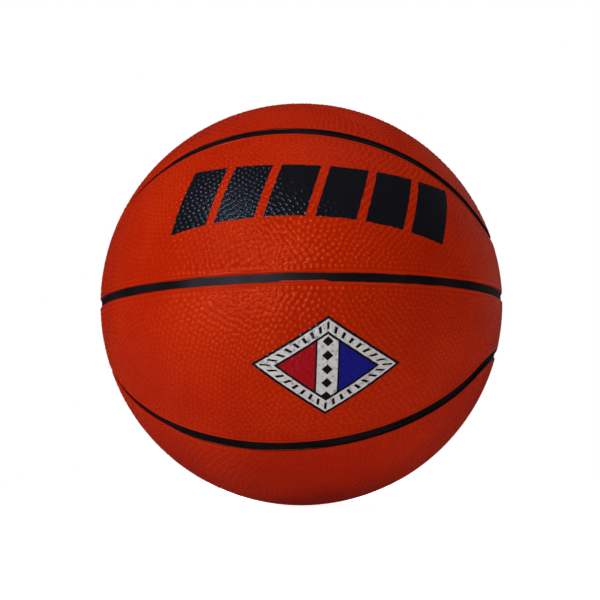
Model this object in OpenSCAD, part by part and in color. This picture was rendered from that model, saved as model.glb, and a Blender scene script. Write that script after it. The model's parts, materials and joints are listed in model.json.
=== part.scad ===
/* [Ball] */
// Outside diameter over the tops of the pebbles
ball_d = 240; // [180:1:260]
// Thickness of the rubber cover panels
cover_t = 1.5; // [1.2:0.1:3]
// Thickness of the moulded rubber carcass under the cover
carcass_t = 0.5; // [0.3:0.1:2]
// Thickness of the wound nylon layer
winding_t = 0.4; // [0.2:0.1:1]
// Thickness of the butyl bladder
bladder_t = 0.8; // [0.5:0.1:2]
// Thickness of the cement between two layers, which is left as a gap
cement_t = 0.1; // [0.05:0.05:0.3]

/* [Channels] */
// Width of a channel between the walls of two panels
channel_w = 5; // [3:0.1:8]
// Radius of the rounded shoulder that a panel has along the ring and the cross ring
ring_shoulder_r = 1.0; // [0.85:0.05:1.15]
// Radius of the rounded shoulder that a panel has along a loop
loop_shoulder_r = 0.8; // [0.3:0.05:0.95]
// Thickness of the black strip on the floor of a channel
strip_t = 0.5; // [0.2:0.05:0.9]
// Gap between a strip and the panel walls beside it
strip_fit = 0.05; // [0.03:0.01:0.2]

/* [Seam layout] */
// Latitude of a loop at the middle of its long side, in degrees
loop_mid_lat = 46.5; // [42:0.5:52]
// Latitude of a loop where the cross ring passes it, in degrees
loop_end_lat = 16; // [12:0.5:22]
// Radius of a loop's rounded ends, in degrees seen from the ball's centre
loop_end_arc = 25.5; // [20:0.5:30]

/* [Valve] */
// Width of the round pad that the ring strip has at the valve
valve_pad_d = 16; // [13:0.5:24]
// Width of the valve seat's neck, which passes through every layer
valve_neck_d = 10; // [9:0.1:12]
// Depth of the valve seat's sleeve below the pebble tops
valve_depth = 20; // [16:0.5:30]
// Width of the valve seat's flange inside the bladder
valve_flange_d = 32; // [20:1:50]
// Thickness of that flange
valve_flange_t = 1.2; // [0.8:0.1:3]
// Width of the valve core's shank
core_d = 5; // [4:0.1:6]
// Width of the valve core's head
core_head_d = 7.6; // [7:0.1:8.4]
// Thickness of the valve core's head
core_head_t = 1.2; // [0.8:0.1:2]
// Width of the barb that holds the valve core in its seat
core_barb_d = 7; // [6.4:0.1:8]
// Length of that barb
core_barb_l = 3; // [2:0.1:5]
// Gap between the valve core and its seat
core_fit = 0.05; // [0.02:0.01:0.1]
// Diameter of the needle bore
needle_bore_d = 2.2; // [2:0.1:3]
// Depth of the needle bore below the core's head, where the slit begins
needle_bore_l = 12; // [8:0.5:14]
// Width of the lead-in cone at the mouth of the needle bore
lead_in_d = 3.6; // [3.2:0.1:4.5]
// Depth of that cone
lead_in_l = 0.8; // [0.4:0.1:2]

/* [Hidden] */
$fn = 128;

// How far a cut runs past what it cuts
overrun = 4;
// Flat steps that round a shoulder
shoulder_steps = 4;
// The last flat of a shoulder runs on past the outside of the ball by this many of its own lengths
shoulder_run_share = 3;
// The rounded ends of a loop lie this far inside its long sides all round, and run this many degrees
// into them, so that the two join with no sliver
end_step = 0.02;
end_overlap = 1;
// Gap round the valve's neck and pad
valve_gap = 0.1;

// Radii of the layers, from the outside in
ball_r = ball_d / 2;
cover_in_r = ball_r - cover_t;
floor_r = cover_in_r + strip_t;
carcass_r = cover_in_r - cement_t;
winding_r = carcass_r - carcass_t - cement_t;
bladder_r = winding_r - winding_t - cement_t;
flange_r = bladder_r - bladder_t - cement_t;

// The loops. Each is a closed chain of four arcs of circles on the ball: a long side at the front, a
// rounded end, a long side at the back and a rounded end. Seen from the centre, an arc is a circle of
// so many degrees round an axis, and two arcs meet smoothly where both axes and the joint lie in one
// plane. That fixes the tilt of a long side's axis from the three angles above.
mid_pole = 90 - loop_mid_lat;
end_pole = 90 - loop_end_lat;
end_axis = end_pole - loop_end_arc;
side_tilt = atan((cos(mid_pole - loop_end_arc) - cos(end_axis)) / sin(mid_pole - loop_end_arc));
side_arc = mid_pole + side_tilt;
// Half of the turn that an end makes round its own axis
end_half_turn = atan2(sin(side_tilt), sin(end_axis) * cos(side_tilt));
// Half of the turn that a long side makes round its own axis
side_half_turn = atan2(sin(end_axis), cos(end_axis) * sin(side_tilt));

// A point at an angle from the axis of a turned profile and at a radius from the centre
function polar(angle, radius) = [radius * sin(angle), radius * cos(angle)];

// A point beside the channel at an angle: so far out from its middle, on one side, and so high
function beside(middle, side, out, height) = polar(middle, height) + polar(middle + 90, side * out);

// A length along the surface, as an angle seen from the centre
function spread(length) = length / ball_r * 180 / PI;

// The rounded shoulder of a panel, from its wall up and out past the outside of the ball
function shoulder_out(r, i) = channel_w / 2 + r * (1 - cos(90 * i / shoulder_steps));
function shoulder_up(r, i) = ball_r - r * (1 - sin(90 * i / shoulder_steps));
function run_on(low, high) = low + shoulder_run_share * (high - low);
function lip_out(r) = run_on(shoulder_out(r, shoulder_steps - 1), shoulder_out(r, shoulder_steps));
function lip_up(r) = run_on(shoulder_up(r, shoulder_steps - 1), shoulder_up(r, shoulder_steps));
function shoulder(middle, side, r) = concat(
    [for (i = [0 : shoulder_steps - 1]) beside(middle, side, shoulder_out(r, i), shoulder_up(r, i))],
    [beside(middle, side, lip_out(r), lip_up(r))]
);
function backwards(points) = [for (i = [len(points) - 1 : -1 : 0]) points[i]];

// The cut that opens the channel at an angle, with a panel's shoulder on each side
module channel_profile(middle, r) {
    low_r = cover_in_r - 2 * overrun;
    high_r = ball_r + 2 * overrun;
    polygon(concat(
        [beside(middle, 1, channel_w / 2, low_r)],
        shoulder(middle, 1, r),
        [beside(middle, 1, lip_out(r), high_r), beside(middle, -1, lip_out(r), high_r)],
        backwards(shoulder(middle, -1, r)),
        [beside(middle, -1, channel_w / 2, low_r)]
    ));
}

// A slice of a layer between two angles from the axis
module layer_profile(from_angle, to_angle, in_r, out_r) {
    reach = 2 * out_r;
    intersection() {
        difference() {
            circle(r = out_r);
            circle(r = in_r);
        }
        polygon([[0, 0], polar(from_angle, reach), polar(to_angle, reach)]);
    }
}

// Half of the cover, from the axis out to the shoulder of the ring's channel
module half_cover_profile() {
    difference() {
        layer_profile(0, 90, cover_in_r, ball_r);
        channel_profile(90, ring_shoulder_r);
    }
}

// The space round a panel, from the axis out to the near shoulder of the channel at an angle
module near_profile(middle, r) {
    difference() {
        layer_profile(0, middle, cover_in_r - overrun, ball_r + overrun);
        channel_profile(middle, r);
    }
}

// Everything from the axis out to the far shoulder of the channel at an angle
module far_profile(middle, r) {
    reach = 2 * ball_r;
    polygon(concat(
        [[0, 0], beside(middle, 1, channel_w / 2, channel_w)],
        shoulder(middle, 1, r),
        [polar(middle, reach), polar(middle / 2, reach), [0, reach]]
    ));
}

// A strip on the floor of the channel at an angle, less a trim all round
module strip_profile(middle, trim = 0) {
    half_w = channel_w / 2 - strip_fit - trim;
    intersection() {
        layer_profile(
            middle - spread(channel_w),
            middle + spread(channel_w),
            cover_in_r + trim,
            floor_r - trim
        );
        polygon([
            beside(middle, 1, half_w, cover_in_r - overrun),
            beside(middle, 1, half_w, ball_r),
            beside(middle, -1, half_w, ball_r),
            beside(middle, -1, half_w, cover_in_r - overrun)
        ]);
    }
}

// Turns a profile round the axis of the long side at the front of the top loop
module front_side() {
    rotate([-side_tilt, 0, 0])
        rotate([0, 0, -90 - side_half_turn])
            rotate_extrude(angle = 2 * side_half_turn) children();
}

// Turns a profile round the axes of both rounded ends of the top loop
module both_ends(half_turn) {
    for (side = [0, 1])
        mirror([side, 0, 0])
            rotate([0, end_axis, 0])
                rotate([0, 0, -half_turn])
                    rotate_extrude(angle = 2 * half_turn) children();
}

// A piece made at the top front, brought to its own quarter of the ball
module quarter(bottom, back) {
    mirror([0, 0, bottom])
        mirror([0, back, 0]) children();
}

// Turns a profile round the Y axis, from the front
module round_cross_axis() {
    rotate([90, 0, 0]) rotate_extrude() children();
}

// A round space along the valve's axis, from inside the ball to past its outside
module valve_hole(width) {
    rotate([-90, 0, 0]) cylinder(d = width, h = ball_r + overrun);
}

// A closed layer of the ball, open only round the valve's neck
module layer(out_r, thickness) {
    difference() {
        sphere(r = out_r);
        sphere(r = out_r - thickness);
        valve_hole(valve_neck_d + 2 * valve_gap);
    }
}

// The panel inside the front half of the top loop
module loop_panel() {
    intersection() {
        round_cross_axis() half_cover_profile();
        union() {
            front_side() near_profile(side_arc, loop_shoulder_r);
            both_ends(end_half_turn + end_overlap)
                near_profile(loop_end_arc - spread(end_step), loop_shoulder_r);
        }
    }
}

// The panel between the front half of the top loop and the ring
module band_panel() {
    difference() {
        intersection() {
            round_cross_axis() half_cover_profile();
            rotate_extrude() near_profile(90, ring_shoulder_r);
        }
        front_side() far_profile(side_arc, loop_shoulder_r);
        both_ends(180) far_profile(loop_end_arc - spread(end_step), loop_shoulder_r);
    }
}

// The strip along the front half of the top loop, cut off square at the cross ring's strip
module loop_strip() {
    intersection() {
        union() {
            front_side() strip_profile(side_arc);
            both_ends(end_half_turn + end_overlap)
                strip_profile(loop_end_arc - spread(end_step), 2 * end_step);
        }
        translate([-ball_r, -ball_r - channel_w / 2, 0]) cube([ball_d, ball_r, ball_r]);
    }
}

// The strip along the cross ring's upper half, cut off square at the ring's strip
module cross_strip() {
    intersection() {
        round_cross_axis() strip_profile(90);
        translate([0, 0, channel_w / 2]) cylinder(r = ball_r, h = ball_r);
    }
}

module panel_colour() {
    color([0.72, 0.25, 0.09]) children();
}

module strip_colour() {
    color([0.08, 0.07, 0.08]) children();
}

module top_loop_panel_front() {
    panel_colour() quarter(0, 0) loop_panel();
}

module top_loop_panel_back() {
    panel_colour() quarter(0, 1) loop_panel();
}

module bottom_loop_panel_front() {
    panel_colour() quarter(1, 0) loop_panel();
}

module bottom_loop_panel_back() {
    panel_colour() quarter(1, 1) loop_panel();
}

module upper_band_panel_front() {
    panel_colour() quarter(0, 0) band_panel();
}

module upper_band_panel_back() {
    panel_colour()
        difference() {
            quarter(0, 1) band_panel();
            valve_hole(valve_pad_d + 2 * valve_gap);
        }
}

module lower_band_panel_front() {
    panel_colour() quarter(1, 0) band_panel();
}

module lower_band_panel_back() {
    panel_colour()
        difference() {
            quarter(1, 1) band_panel();
            valve_hole(valve_pad_d + 2 * valve_gap);
        }
}

// The ring's strip, with its round pad at the valve
module ring_strip() {
    strip_colour()
        difference() {
            union() {
                rotate_extrude() strip_profile(90);
                intersection() {
                    difference() {
                        sphere(r = floor_r);
                        sphere(r = cover_in_r);
                    }
                    valve_hole(valve_pad_d);
                }
            }
            valve_hole(valve_neck_d + 2 * valve_gap);
        }
}

module cross_strip_top() {
    strip_colour() quarter(0, 0) cross_strip();
}

module cross_strip_bottom() {
    strip_colour() quarter(1, 0) cross_strip();
}

module top_loop_strip_front() {
    strip_colour() quarter(0, 0) loop_strip();
}

module top_loop_strip_back() {
    strip_colour() quarter(0, 1) loop_strip();
}

module bottom_loop_strip_front() {
    strip_colour() quarter(1, 0) loop_strip();
}

module bottom_loop_strip_back() {
    strip_colour() quarter(1, 1) loop_strip();
}

module carcass() {
    color([0.16, 0.15, 0.15]) layer(carcass_r, carcass_t);
}

module winding() {
    color([0.86, 0.84, 0.78]) layer(winding_r, winding_t);
}

module bladder() {
    color([0.12, 0.12, 0.13]) layer(bladder_r, bladder_t);
}

// The valve pieces are turned round the Y axis, from profiles whose heights run from the ball's centre
module along_valve() {
    rotate([-90, 0, 0]) rotate_extrude() children();
}

// A rectangle of a valve profile, from the axis out and between two heights
module disc_profile(width, low, high) {
    translate([0, low]) square([width / 2, high - low]);
}

// The neck passes out to the channel's floor, the sleeve runs in, and the flange is bonded to the
// inside of the bladder
module valve_seat() {
    sleeve_end = ball_r - valve_depth;
    head_seat = floor_r - core_head_t;
    color([0.1, 0.1, 0.11])
        along_valve() difference() {
            union() {
                disc_profile(valve_neck_d, sleeve_end, floor_r);
                intersection() {
                    layer_profile(0, 90, flange_r - valve_flange_t, flange_r);
                    disc_profile(valve_flange_d, 0, ball_r);
                }
            }
            disc_profile(core_d + 2 * core_fit, sleeve_end - overrun, ball_r);
            disc_profile(core_head_d + 2 * core_fit, head_seat, ball_r);
        }
}

// The core's head sits in the seat's mouth, its barb lies against the end of the sleeve, and its bore
// opens in a lead-in cone and ends at the slit that seals it
module valve_core() {
    sleeve_end = ball_r - valve_depth;
    barb_end = sleeve_end - core_barb_l;
    head_seat = floor_r - core_head_t;
    bore_end = head_seat - needle_bore_l;
    color([0.2, 0.19, 0.19])
        along_valve() polygon([
            [0, bore_end],
            [needle_bore_d / 2, bore_end],
            [needle_bore_d / 2, floor_r - lead_in_l],
            [lead_in_d / 2, floor_r],
            [core_head_d / 2, floor_r],
            [core_head_d / 2, head_seat],
            [core_d / 2, head_seat],
            [core_d / 2, sleeve_end],
            [core_barb_d / 2, sleeve_end],
            [core_d / 2, barb_end],
            [0, barb_end]
        ]);
}

top_loop_panel_front();
top_loop_panel_back();
bottom_loop_panel_front();
bottom_loop_panel_back();
upper_band_panel_front();
upper_band_panel_back();
lower_band_panel_front();
lower_band_panel_back();
ring_strip();
cross_strip_top();
cross_strip_bottom();
top_loop_strip_front();
top_loop_strip_back();
bottom_loop_strip_front();
bottom_loop_strip_back();
carcass();
winding();
bladder();
valve_seat();
valve_core();
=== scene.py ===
"""A full-size basketball: pebbled cover panels, channels, valve and inner layers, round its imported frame.

The file is laid out as a Blender add-on. One operator makes the eight cover panels and one the wound
thread, others give the channel strips, the valve and the inner layers their finishes, and the last one
sets the stage.
"""

import json
import math
from collections import namedtuple

import bpy
import numpy as np
from bpy.props import FloatProperty, FloatVectorProperty, IntProperty, PointerProperty
from bpy.types import Operator, Panel, PropertyGroup
from mathutils import Matrix, Vector, kdtree
from mathutils.geometry import delaunay_2d_cdt


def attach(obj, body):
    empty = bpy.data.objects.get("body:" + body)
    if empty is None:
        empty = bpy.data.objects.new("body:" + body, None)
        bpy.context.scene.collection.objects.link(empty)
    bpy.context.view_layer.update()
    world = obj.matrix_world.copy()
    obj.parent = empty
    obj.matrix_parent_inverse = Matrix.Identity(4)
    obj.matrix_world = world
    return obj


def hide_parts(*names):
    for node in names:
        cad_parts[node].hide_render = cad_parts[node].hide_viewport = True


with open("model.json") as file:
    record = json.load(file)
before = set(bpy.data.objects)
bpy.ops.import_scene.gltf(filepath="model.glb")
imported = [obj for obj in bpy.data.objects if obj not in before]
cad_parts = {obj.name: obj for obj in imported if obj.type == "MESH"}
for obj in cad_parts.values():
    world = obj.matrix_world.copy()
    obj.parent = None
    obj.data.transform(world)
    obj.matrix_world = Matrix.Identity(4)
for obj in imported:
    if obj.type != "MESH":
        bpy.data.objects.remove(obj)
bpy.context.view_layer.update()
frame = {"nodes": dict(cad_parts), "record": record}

bl_info = {
    "name": "Basketball",
    "version": (1, 0, 0),
    "blender": (4, 5, 0),
    "location": "3D View > Sidebar > Ball",
    "description": "A full-size game ball with pebbled panels, channels, valve and inner layers",
    "category": "Add Mesh",
}

BODY = "root"
QUARTER_TURN = math.pi / 2
GOLDEN_TURN = math.pi * (1 + math.sqrt(5))
HEX_SHARE = math.sqrt(3) / 2
TINY = 1e-9
# Each cover panel: its node, its shape, and whether it is mirrored to the back and to the bottom
PANELS = (
    ("top_loop_panel_front", "loop", False, False),
    ("top_loop_panel_back", "loop", True, False),
    ("bottom_loop_panel_front", "loop", False, True),
    ("bottom_loop_panel_back", "loop", True, True),
    ("upper_band_panel_front", "band", False, False),
    ("upper_band_panel_back", "valve_band", True, False),
    ("lower_band_panel_front", "band", False, True),
    ("lower_band_panel_back", "valve_band", True, True),
)
STRIPS = (
    "ring_strip",
    "cross_strip_top",
    "cross_strip_bottom",
    "top_loop_strip_front",
    "top_loop_strip_back",
    "bottom_loop_strip_front",
    "bottom_loop_strip_back",
)

# A rough middle of each shape of panel, when it lies at the top front
PANEL_MIDDLES = {"loop": (0.0, -0.5, 1.0), "band": (0.0, -1.0, 0.45), "valve_band": (0.0, -1.0, 0.45)}
# Rings of points on a pebble: the ring's share of the pebble's radius, and how many points it has
DOME_RINGS = ((0.0, 1), (0.4, 6), (0.72, 9), (1.0, 11))
# Rows down a panel's smooth rim: the row's share of the rim's width, and of its drop to the valleys
RIM_ROWS = ((0.45, 0.35), (1.0, 1.0))
SHARP_EDGE = math.radians(62)
# How far the wound thread's foot and top, and the ground's foot and top, lie above the winding's inside
THREAD_LEVELS = (0.00012, 0.00036)
GROUND_LEVELS = (0.00007, 0.00016)

# A channel's middle as a circle on the ball: its axis, its arc from that axis, 1 if the panel lies outside
# it or -1 if inside, and the radius of the panel's shoulder along it
Circle = namedtuple("Circle", "axis arc out shoulder")
# The pebbles: their middles, how far each reaches, how high it is, and the turn of its first point
Pebbles = namedtuple("Pebbles", "centres reaches heights turns")
# A light: its turn to the right of the front and its rise, in degrees, how far it stands from the ball's
# middle, its size, and whether it gives the soft part of the light and the glints
Light = namedtuple("Light", "turn rise distance size soft glints")
LIGHTS = {
    "key": Light(-48, 26, 1.5, 0.4, True, False),
    "fill": Light(84, 14, 1.6, 0.8, True, False),
    "top": Light(60, 72, 1.4, 1.2, True, False),
    "back": Light(142, 16, 1.6, 1.1, True, True),
    "rear": Light(188, 6, 1.6, 0.6, True, True),
    "window": Light(-42, 42, 1.5, 0.3, True, True),
    "flash": Light(-10, -2, 1.2, 0.2, False, True),
    "lamp": Light(-2, 20, 1.2, 0.24, False, True),
    "sheen": Light(-36, -1, 1.2, 0.24, False, True),
}
SURROUND_IN_GLOSS = 0.15
WHITE = (1.0, 1.0, 1.0)
SENSOR_WIDTH = 36.0
FRAME_SHIFT = (-0.0023, 0.0073)
# A direction that lies along no circle's axis
OFF_AXIS = (0.31, 0.87, 0.39)


def screen_colour(red, green, blue):
    """A colour read off a screen, 0 to 255, as the linear colour that Blender keeps."""
    shares = [level / 255 for level in (red, green, blue)]
    return tuple(s / 12.92 if s <= 0.04045 else ((s + 0.055) / 1.055) ** 2.4 for s in shares)


def lowest_point():
    """How far the ball's lowest point lies from its centre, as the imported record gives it."""
    for mount in frame["record"]["mounts"]:
        if mount["name"] == "floor_contact":
            return abs(mount["pos_m"][2])
    raise RuntimeError("the record has no mount where the ball meets the floor")


def length(name, description, default, low, high):
    return FloatProperty(
        name=name, description=description, default=default, min=low, max=high, unit="LENGTH", precision=5
    )


def angle(name, description, degrees):
    return FloatProperty(name=name, description=description, default=math.radians(degrees), subtype="ANGLE")


def whole_number(name, description, default, low, high):
    return IntProperty(name=name, description=description, default=default, min=low, max=high)


def colour(name, description, red, green, blue):
    return FloatVectorProperty(
        name=name, description=description, default=screen_colour(red, green, blue),
        size=3, min=0.0, max=1.0, subtype="COLOR",
    )


def power(name, description, default):
    return FloatProperty(name=name, description=description, default=default, min=0.0, unit="POWER")


def brightness(name, description, default):
    return FloatProperty(name=name, description=description, default=default, min=0.0)


class BallSizes(PropertyGroup):
    """The sizes of the cover, its channels and its pebbles."""

    radius: length("Ball radius", "From the centre to the pebble tops", lowest_point(), 0.1, 0.13)
    cover: length("Cover", "Thickness of the cover at the pebble tops", 0.0015, 0.001, 0.003)
    channel: length("Channel width", "Width of the black floor between two panels", 0.005, 0.003, 0.008)
    ring_shoulder: length("Ring shoulder", "Round edge along the two rings", 0.001, 0.0005, 0.0012)
    loop_shoulder: length("Loop shoulder", "Round edge along the loops", 0.0008, 0.0003, 0.001)
    corner: length("Corner", "Rounding of a panel's corners, seen from outside", 0.002, 0.0012, 0.003)
    notch: length("Valve notch", "Width of the round notch at the valve", 0.0162, 0.012, 0.02)
    side_latitude: angle("Loop side", "Latitude where a loop crosses the front", 46.5)
    end_latitude: angle("Loop end", "Latitude of the rounded end of a loop", 16.0)
    end_arc: angle("End arc", "Radius of a loop's rounded end, as an angle", 25.5)
    ring_paint: length("Ring paint", "Half the width of the black along the rings", 0.0023, 0.001, 0.0024)
    loop_paint: length("Loop paint", "Half the width of the black along the loops", 0.0031, 0.0025, 0.0036)
    pebble_pitch: length("Pebble pitch", "From one pebble to the next", 0.0033, 0.002, 0.006)
    pebble_height: length("Pebble height", "From the valleys to the tops", 0.0004, 0.0001, 0.0006)
    pebble_gap: length("Pebble gap", "Valley between two close pebbles", 0.00012, 0.00005, 0.001)
    rim_drop: length("Rim drop", "How far the smooth rim lies below the tops", 0.0001, 0.0, 0.0003)
    rim_width: length("Rim width", "Smooth rim beside a shoulder", 0.0007, 0.0003, 0.0009)
    mesh_step: length("Mesh step", "Distance between the points along an edge", 0.0008, 0.0005, 0.003)
    winding_inside: length("Winding, inside", "Radius where the winding starts", 0.1174, 0.1, 0.12)
    layer_hole: length("Valve hole", "Radius of the winding's hole at the valve", 0.0051, 0.004, 0.006)
    thread_width: length("Thread width", "Width of the wound thread, pressed flat", 0.0006, 0.0003, 0.001)
    thread_turns: whole_number("Thread turns", "Turns on the outside", 120, 20, 160)
    thread_steps: whole_number("Thread steps", "Points on a turn", 160, 60, 200)
    seed: whole_number("Pebble seed", "Order of the random draws", 11, 0, 9999)


class BallColours(PropertyGroup):
    """The colours of the rubber, the paint and the print."""

    cover: colour("Cover", "Orange-brown rubber", 196, 42, 3)
    cover_deep: colour("Cover, deep", "The darker tone of the mottled rubber", 184, 34, 2)
    # The valleys' colour is painted shade between the pebbles
    valley: colour("Valleys", "Rubber between the pebbles", 168, 25, 1)
    gloss: colour("Rubber gloss", "Tint of what the rubber reflects", 255, 116, 70)
    ink_gloss: colour("Ink gloss", "Tint of what the ink reflects", 172, 200, 236)
    channel: colour("Channel", "Black paint of the channels", 19, 16, 19)
    print_black: colour("Print, black", "Black ink", 20, 19, 24)
    print_white: colour("Print, white", "White ink", 214, 210, 206)
    print_red: colour("Print, red", "Red ink", 166, 2, 8)
    print_blue: colour("Print, blue", "Blue ink", 22, 18, 128)
    carcass: colour("Carcass", "Black rubber under the cover", 44, 42, 43)
    thread: colour("Thread", "Wound nylon", 214, 208, 190)
    bladder: colour("Bladder", "Butyl rubber", 30, 30, 32)
    valve: colour("Valve", "Moulded rubber of the valve", 28, 27, 28)
    floor: colour("Floor", "Pale floor", 246, 246, 246)


class BallStage(PropertyGroup):
    """The camera and the light."""

    distance: length("Camera distance", "From the ball's centre", 0.873, 0.4, 3.0)
    turn: angle("Camera turn", "To the right of the front", 6.7)
    rise: angle("Camera rise", "Above the ball's middle", -6.8)
    roll: angle("Camera roll", "The ball's lean, its right side up", 0.95)
    lens: FloatProperty(name="Lens", description="Focal length in millimetres", default=87.0, min=20.0)
    key: power("Key light", "From the left", 10.4)
    window: power("Window", "From the upper left", 1.6)
    flash: power("Flash", "Small, beside the camera", 1.6)
    lamp: power("Lamp", "Small, above the camera", 1.6)
    sheen: power("Sheen", "Small, left of the camera", 1.6)
    fill: power("Fill light", "From the right", 0.4)
    top: power("Top light", "From above, a little to the right", 8.9)
    back: power("Back light", "From the right, behind", 0.32)
    rear: power("Rear light", "On the valve's side", 5.5)
    surround: brightness("Surround", "The dim surround that lights the ball", 0.14)
    floor_seen: brightness("Floor, seen", "Glow to the eye near the ball", 0.9)
    floor_cast: brightness("Floor, cast", "Glow that reaches the ball", 0.23)


# Shapes on the ball. Points are unit vectors from its centre, and distances along it are in metres.


def loop_circles(sizes):
    """The left end, the long side and the right end of the top loop's front half, as (axis, arc)."""
    from_pole = QUARTER_TURN - sizes.side_latitude
    end_axis = QUARTER_TURN - sizes.end_latitude - sizes.end_arc
    past_end = from_pole - sizes.end_arc
    tilt = math.atan((math.cos(past_end) - math.cos(end_axis)) / math.sin(past_end))
    side = (np.array([0, math.sin(tilt), math.cos(tilt)]), from_pole + tilt)
    right = (np.array([math.sin(end_axis), 0, math.cos(end_axis)]), sizes.end_arc)
    left = (right[0] * (-1, 1, 1), sizes.end_arc)
    return left, side, right


def loop_distance(points, sizes):
    """Distance of points from the nearest loop's middle, below zero inside it."""
    near = np.stack([abs(points[:, 0]), -abs(points[:, 1]), abs(points[:, 2])], 1)
    _, side, right = loop_circles(sizes)
    at_end = near @ np.cross(side[0], right[0]) > 0
    from_side = np.arccos(np.clip(near @ side[0], -1, 1)) - side[1]
    from_end = np.arccos(np.clip(near @ right[0], -1, 1)) - right[1]
    return sizes.radius * np.where(at_end, from_end, from_side)


def notch_arc(sizes):
    """The arc of the valve's notch, less the half channel that every panel edge adds again."""
    floor = sizes.radius - sizes.ring_shoulder
    return math.asin(sizes.notch / 2 / floor) - math.asin(sizes.channel / 2 / floor)


def channel_distance(points, sizes):
    """Distance of points from the middle of the nearest channel."""
    ring = sizes.radius * abs(np.arcsin(np.clip(points[:, 2], -1, 1)))
    cross = sizes.radius * abs(np.arcsin(np.clip(points[:, 1], -1, 1)))
    valve = sizes.radius * (np.arccos(np.clip(points[:, 1], -1, 1)) - notch_arc(sizes))
    return np.minimum.reduce([ring, cross, abs(loop_distance(points, sizes)), valve])


def across(axis):
    """Two directions square to an axis and to each other."""
    first = np.cross(axis, OFF_AXIS)
    first = first / np.linalg.norm(first)
    return first, np.cross(axis, first)


def turn_of(axis, point):
    """The turn of a point round an axis."""
    first, second = across(axis)
    return math.atan2(point @ second, point @ first)


def edge_foot(circle, turn):
    """The point of a channel's middle at a turn, and the direction from it into the panel."""
    first, second = across(circle.axis)
    outward = math.cos(turn) * first + math.sin(turn) * second
    foot = math.cos(circle.arc) * circle.axis + math.sin(circle.arc) * outward
    inward = circle.out * (math.cos(circle.arc) * outward - math.sin(circle.arc) * circle.axis)
    return foot, inward


def meeting_point(first, second, depth, near):
    """The point that lies as deep, an arc, inside one edge of a panel as inside another. Of the two such
    points, the one on the side of a rough place."""
    cosines = [math.cos(c.arc + c.out * depth) for c in (first, second)]
    slant = first.axis @ second.axis
    rest = 1 - slant * slant
    flat = (
        (cosines[0] - slant * cosines[1]) * first.axis + (cosines[1] - slant * cosines[0]) * second.axis
    ) / rest
    lift = math.sqrt(max(0.0, 1 - flat @ flat)) * np.cross(first.axis, second.axis) / math.sqrt(rest)
    return max((flat + lift, flat - lift), key=lambda point: point @ near)


def tangent_point(wide, narrow):
    """Where a small circle touches a wide one from inside."""
    along = narrow.axis - (narrow.axis @ wide.axis) * wide.axis
    along = along / np.linalg.norm(along)
    return math.cos(wide.arc) * wide.axis + math.sin(wide.arc) * along


def panel_edges(shape, sizes):
    """The edges of a panel at the top front, in order, each with a rough place for the corner after it.
    None instead of a place says that the edge runs on smoothly into the next."""
    side_out = -1 if shape == "loop" else 1
    left, side, right = (
        Circle(axis, arc, side_out, sizes.loop_shoulder) for axis, arc in loop_circles(sizes)
    )
    cross = Circle(np.array([0.0, -1.0, 0.0]), QUARTER_TURN, -1, sizes.ring_shoulder)
    ring = Circle(np.array([0.0, 0.0, 1.0]), QUARTER_TURN, -1, sizes.ring_shoulder)
    low, high = np.array([1.0, -0.1, 0.1]), np.array([1.0, -0.1, 0.3])
    if shape == "loop":
        return [(right, None), (side, None), (left, high * (-1, 1, 1)), (cross, high)]
    edges = [(cross, high), (right, None), (side, None), (left, high * (-1, 1, 1))]
    edges += [(cross, low * (-1, 1, 1))]
    if shape == "band":
        return edges + [(ring, low)]
    notch = Circle(np.array([0.0, -1.0, 0.0]), notch_arc(sizes), 1, sizes.ring_shoulder)
    beside = np.array([0.07, -1.0, 0.02])
    return edges + [(ring, beside * (-1, 1, 1)), (notch, beside), (ring, low)]


def shortest_turn(start, end):
    """The turn from one angle to another, the short way round."""
    return (end - start + math.pi) % (2 * math.pi) - math.pi


def border_columns(shape, sizes):
    """Columns of points round a panel: each has its foot on the channel's middle, the direction into the
    panel, and the radius of the shoulder there."""
    edges = panel_edges(shape, sizes)
    depth = (sizes.channel / 2 + sizes.corner) / sizes.radius
    joints = []
    for index, (circle, corner) in enumerate(edges):
        following = edges[(index + 1) % len(edges)][0]
        if corner is None:
            wide, narrow = sorted((circle, following), key=lambda c: -c.arc)
            joints.append(tangent_point(wide, narrow))
        else:
            joints.append(meeting_point(circle, following, depth, corner))
    columns = []
    for index, (circle, corner) in enumerate(edges):
        start = turn_of(circle.axis, joints[index - 1])
        sweep = shortest_turn(start, turn_of(circle.axis, joints[index]))
        count = math.ceil(abs(sweep) * math.sin(circle.arc) * sizes.radius / sizes.mesh_step)
        steps = count if corner is None else count + 1
        for step in range(steps):
            foot, inward = edge_foot(circle, start + sweep * step / count)
            columns.append((foot, inward, circle.shoulder))
        if corner is not None:
            following = edges[(index + 1) % len(edges)][0]
            columns += corner_columns(joints[index], columns[-1][0], circle, following, depth)
    feet, inwards, shoulders = (np.array(values) for values in zip(*columns))
    return feet, inwards, shoulders


def corner_columns(centre, foot, circle, following, depth, steps=5):
    """The columns that turn a panel's edge round a rounded corner, between its two feet."""
    last, _ = edge_foot(following, turn_of(following.axis, centre))
    tangents = [p - (p @ centre) * centre for p in (foot, last)]
    first, second = (t / np.linalg.norm(t) for t in tangents)
    whole = math.acos(max(-1.0, min(1.0, first @ second)))
    columns = []
    for step in range(1, steps):
        share = step / steps
        way = (math.sin((1 - share) * whole) * first + math.sin(share * whole) * second) / math.sin(whole)
        inward = math.sin(depth) * centre - math.cos(depth) * way
        shoulder = circle.shoulder + share * (following.shoulder - circle.shoulder)
        columns.append((math.cos(depth) * centre + math.sin(depth) * way, inward, shoulder))
    return columns


def spread_points(count):
    """Points spread evenly over the whole ball, in a spiral round the X axis."""
    place = np.arange(count) + 0.5
    along = 1 - 2 * place / count
    out = np.sqrt(1 - along * along)
    return np.stack([along, out * np.cos(GOLDEN_TURN * place), out * np.sin(GOLDEN_TURN * place)], 1)


def count_for(step, radius):
    """How many points lie on the ball when neighbours are a step apart."""
    return round(4 * math.pi * radius**2 / (HEX_SHARE * step**2))


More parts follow.
